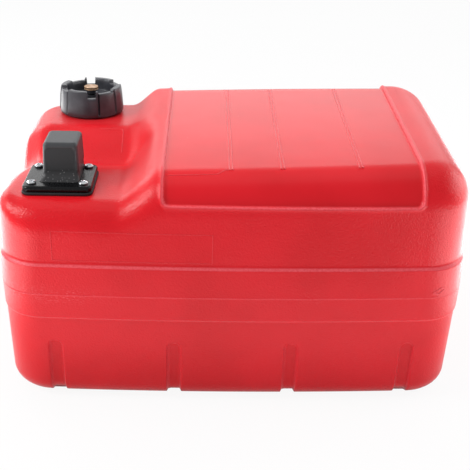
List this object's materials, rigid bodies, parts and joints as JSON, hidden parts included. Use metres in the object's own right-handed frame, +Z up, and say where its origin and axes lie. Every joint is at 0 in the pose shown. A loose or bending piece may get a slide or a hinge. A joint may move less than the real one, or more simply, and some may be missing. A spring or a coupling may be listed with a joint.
{
  "type": "outboard fuel tank",
  "caption": "Portable box-shaped fuel tank with a screw filler cap and vent knob, a float gauge under a hood and a quick connector for the fuel hose.",
  "frame": {"origin": "centre of the bounding box in plan, on the plane that the tank stands on", "axes": "+X along the tank from the gauge end to the carrying end, +Y from the long side with the gauge plate in front to the side with the filler cap, +Z up"},
  "size_m": [0.471, 0.3188, 0.2678],
  "materials": {
    "tank_red": "fine grain, satin",
    "cap_black": "satin",
    "plate_black": "satin",
    "hood_black": "matte",
    "rubber_black": "matte",
    "brass": "turned",
    "steel": "bright",
    "window_clear": "clear plastic",
    "dial_white": "matt enamel",
    "pointer_orange": "matt enamel",
    "plastic_pale": "natural",
    "float_dark": "closed-cell foam"
  },
  "bodies": {
    "tank": {"tank_body": "tank_red", "meter_gasket": "rubber_black", "meter_flange": "plate_black", "meter_hood": "hood_black", "window_seal": "rubber_black", "meter_window": "window_clear", "dial_plate": "dial_white", "gauge_bracket": "steel", "arm_pin": "steel", "pickup_tube": "plastic_pale", "pickup_strainer": "plastic_pale", "connector_body": "brass", "connector_guide_pin": "steel", "connector_oring": "rubber_black", "valve_spring": "steel", "flange_screw_1": "steel", "flange_screw_2": "steel", "flange_screw_3": "steel", "flange_screw_4": "steel"},
    "cap_seal": {"cap_gasket": "rubber_black"},
    "cap_disc": {"cap_liner": "plastic_pale"},
    "cap": {"filler_cap": "cap_black", "vent_bush": "brass"},
    "vent_ring": {"vent_seal": "rubber_black"},
    "vent_knob": {"vent_screw": "brass"},
    "float": {"arm_hub": "plastic_pale", "float_arm": "steel", "gauge_float": "float_dark"},
    "link": {"gauge_link": "steel"},
    "pointer": {"gauge_pointer": "pointer_orange"},
    "valve": {"connector_valve": "brass"}
  },
  "joints": [
    {"name": "cap_lift", "type": "slide", "parent": "tank", "child": "cap_seal", "axis": [0, 0.0558, 0.9984], "range_m": [0, 0.07]},
    {"name": "cap_rise", "type": "slide", "parent": "cap_seal", "child": "cap_disc", "axis": [0, 0.0558, 0.9984], "range_m": [0, 0.01]},
    {"name": "cap_turn", "type": "hinge", "parent": "cap_disc", "child": "cap", "pos_m": [-0.1634, 0.0956, 0.25027], "axis": [0, 0.0558, 0.9984], "range_deg": [0, 720]},
    {"name": "vent_rise", "type": "slide", "parent": "cap", "child": "vent_ring", "axis": [0, 0.0558, 0.9984], "range_m": [0, 0.003]},
    {"name": "vent_turn", "type": "hinge", "parent": "vent_ring", "child": "vent_knob", "pos_m": [-0.1634, 0.0956, 0.25027], "axis": [0, 0.0558, 0.9984], "range_deg": [0, 1080]},
    {"name": "float_swing", "type": "hinge", "parent": "tank", "child": "float", "pos_m": [-0.1743, -0.09458, 0.12041], "axis": [0, -0.9984, 0.0558], "range_deg": [0, 84]},
    {"name": "link_pivot", "type": "hinge", "parent": "float", "child": "link", "pos_m": [-0.17876, -0.09146, 0.12425], "axis": [0, -0.9984, 0.0558], "range_deg": [-84.1, 0]},
    {"name": "pointer_turn", "type": "hinge", "parent": "tank", "child": "pointer", "pos_m": [-0.1743, -0.0719, 0.24834], "axis": [0, -0.9984, 0.0558], "range_deg": [0, 84.1]},
    {"name": "valve_push", "type": "slide", "parent": "tank", "child": "valve", "axis": [0, -0.9984, 0.0558], "range_m": [0, 0.003], "stiffness_N_per_m": 400, "springref_m": -0.002}
  ],
  "couplings": [
    {"joint": "cap_rise", "follows": "cap_turn", "m_per_rad": 0.000795},
    {"joint": "vent_rise", "follows": "vent_turn", "m_per_rad": 0.000159},
    {"joint": "link_pivot", "follows": "float_swing", "ratio": -1},
    {"joint": "pointer_turn", "follows": "float_swing", "ratio": 1}
  ]
}
